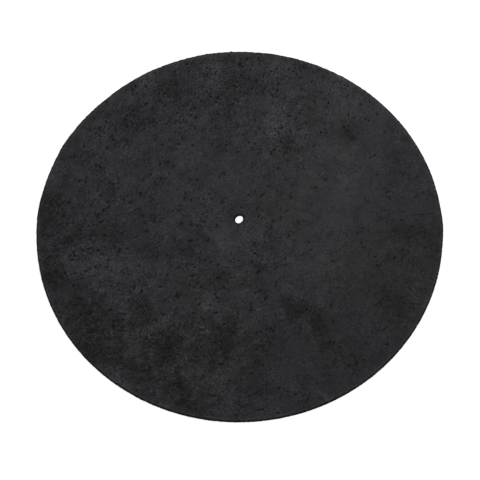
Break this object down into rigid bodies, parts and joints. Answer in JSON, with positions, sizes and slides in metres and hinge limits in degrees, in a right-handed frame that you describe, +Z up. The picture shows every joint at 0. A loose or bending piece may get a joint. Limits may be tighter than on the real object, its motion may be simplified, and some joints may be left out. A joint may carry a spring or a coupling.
{
  "type": "turntable platter mat",
  "caption": "Thin round mat of black napped leather with a small centre hole, laid on a record player's platter under the record.",
  "frame": {"origin": "on the axis of the spindle hole, in the plane of the underside", "axes": "+Z up, out of the napped face that the record lies on; the mat is round, so +X and +Y are only the picture's right and the way away from its camera"},
  "size_m": [0.3006, 0.3001, 0.002],
  "materials": {
    "leather": "matte"
  },
  "bodies": {
    "root": {"platter_mat": "leather"}
  },
  "joints": []
}
